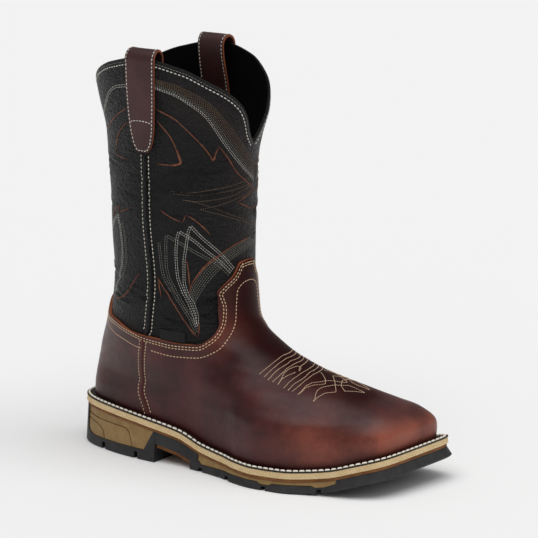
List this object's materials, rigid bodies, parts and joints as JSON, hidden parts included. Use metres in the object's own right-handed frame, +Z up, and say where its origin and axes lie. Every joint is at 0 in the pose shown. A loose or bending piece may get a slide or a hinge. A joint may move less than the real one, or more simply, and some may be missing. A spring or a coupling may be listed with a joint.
{
  "type": "western work boot",
  "caption": "Western work boot for the right foot: tall leather shaft with scalloped collar and pull straps, wide square toe, welted layered sole with low heel and lugs.",
  "frame": {"origin": "on the floor, at the middle of the heel's flat underside", "axes": "+X towards the toe, +Z up, and so -Y is the outer (lateral) side of this right boot"},
  "size_m": [0.3184, 0.1258, 0.3401],
  "materials": {
    "shaft_leather": "pebbled, satin",
    "foot_leather": "oiled, smooth with fine grain",
    "strap_leather": "oiled",
    "lining": "matte",
    "welt_dark": "satin",
    "midsole_cream": "matte",
    "sole_tan": "matte",
    "outsole_taupe": "matte",
    "outsole_black": "matte"
  },
  "bodies": {
    "root": {"upper": "shaft_leather", "vamp": "foot_leather", "heel_counter": "foot_leather", "foot_seam_lateral": "foot_leather", "foot_seam_medial": "foot_leather", "side_piping_lateral": "shaft_leather", "side_piping_medial": "shaft_leather", "side_tab": "shaft_leather", "pull_strap_lateral": "strap_leather", "pull_strap_medial": "strap_leather", "insole": "lining", "welt": "welt_dark", "midsole": "midsole_cream", "slip_sole": "sole_tan", "arch_plate": "sole_tan", "heel_carrier": "outsole_taupe", "fore_carrier": "outsole_taupe", "heel_tread": "outsole_black", "fore_tread": "outsole_black"}
  },
  "joints": []
}
